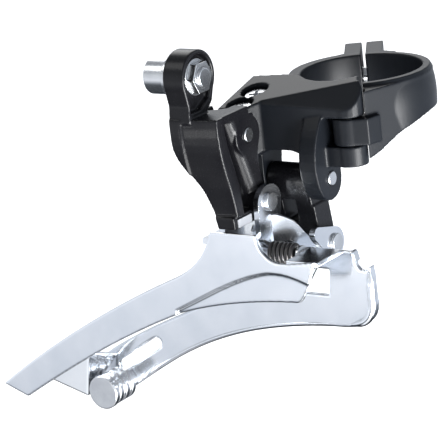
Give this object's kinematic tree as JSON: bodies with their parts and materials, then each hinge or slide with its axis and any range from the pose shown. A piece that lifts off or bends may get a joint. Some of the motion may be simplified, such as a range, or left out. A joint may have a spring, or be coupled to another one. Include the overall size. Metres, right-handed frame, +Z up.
{
  "type": "front derailleur",
  "caption": "Band-on bicycle front derailleur: hinged seat-tube clamp, parallelogram linkage with cable arm, and a two-plate chain cage with a bolted tail.",
  "frame": {"origin": "centre of the clamp bore, on the seat tube's axis", "axes": "+Z up along the seat tube, +X forward, -Y outboard towards the drive side"},
  "size_m": [0.116, 0.0834, 0.1019],
  "materials": {
    "black_anodised": "satin",
    "black_gloss": "gloss",
    "grey_plastic": "matte",
    "spring_steel": "oiled",
    "steel_bright": "bright",
    "chromed_plate": "polished"
  },
  "bodies": {
    "bracket_body": {"bracket": "black_anodised", "hinge_pin": "steel_bright", "pin_a": "steel_bright", "pin_b": "steel_bright"},
    "band": {"front_band": "black_anodised", "clamp_washer": "steel_bright"},
    "clamp_screw": {"clamp_bolt": "steel_bright"},
    "low_limit": {"low_screw": "steel_bright"},
    "high_limit": {"high_screw": "steel_bright"},
    "outer_arm": {"outer_link": "black_gloss", "link_pad": "grey_plastic", "cable_washer": "steel_bright", "cable_nut": "steel_bright"},
    "anchor": {"cable_bolt": "steel_bright"},
    "inner_arm": {"inner_link": "black_gloss"},
    "cage": {"saddle": "chromed_plate", "pin_c": "steel_bright", "pin_d": "steel_bright", "spring_post": "steel_bright", "return_spring": "spring_steel", "outer_plate": "chromed_plate", "inner_plate": "chromed_plate", "front_bridge": "chromed_plate", "tail_bridge": "chromed_plate", "tail_spacer": "steel_bright", "tail_bolt": "steel_bright"}
  },
  "joints": [
    {"name": "inner_link_pivot", "type": "hinge", "parent": "bracket_body", "child": "inner_arm", "pos_m": [0, -0.023, -0.0152], "axis": [-1, 0, 0], "range_deg": [0, 40], "stiffness_Nm_per_rad": 0.6, "springref_deg": -20.05},
    {"name": "cage_pivot", "type": "hinge", "parent": "inner_arm", "child": "cage", "pos_m": [0, -0.02, -0.0334], "axis": [-1, 0, 0], "range_deg": [-40, 0]},
    {"name": "outer_link_pivot", "type": "hinge", "parent": "bracket_body", "child": "outer_arm", "pos_m": [0, -0.036, -0.001], "axis": [-1, 0, 0], "range_deg": [0, 40]},
    {"name": "band_hinge", "type": "hinge", "parent": "bracket_body", "child": "band", "pos_m": [0.00762, -0.0202, 0], "axis": [0, 0, -1], "range_deg": [0, 60]},
    {"name": "clamp_bolt_turn", "type": "hinge", "parent": "band", "child": "clamp_screw", "pos_m": [-0.0129, 0.02234, 0], "axis": [0.866, 0.5, 0], "continuous": true},
    {"name": "low_screw_turn", "type": "hinge", "parent": "bracket_body", "child": "low_limit", "pos_m": [-0.0204, -0.0184, 0], "axis": [0, -0.2419, 0.9703], "continuous": true},
    {"name": "high_screw_turn", "type": "hinge", "parent": "bracket_body", "child": "high_limit", "pos_m": [-0.0204, -0.0262, 0], "axis": [0, -0.2419, 0.9703], "continuous": true},
    {"name": "anchor_bolt_turn", "type": "hinge", "parent": "outer_arm", "child": "anchor", "pos_m": [0, -0.045, 0.016], "axis": [1, 0, 0], "continuous": true}
  ],
  "couplings": [
    {"joint": "cage_pivot", "follows": "inner_link_pivot", "ratio": -1},
    {"joint": "outer_link_pivot", "follows": "inner_link_pivot", "ratio": 1}
  ]
}
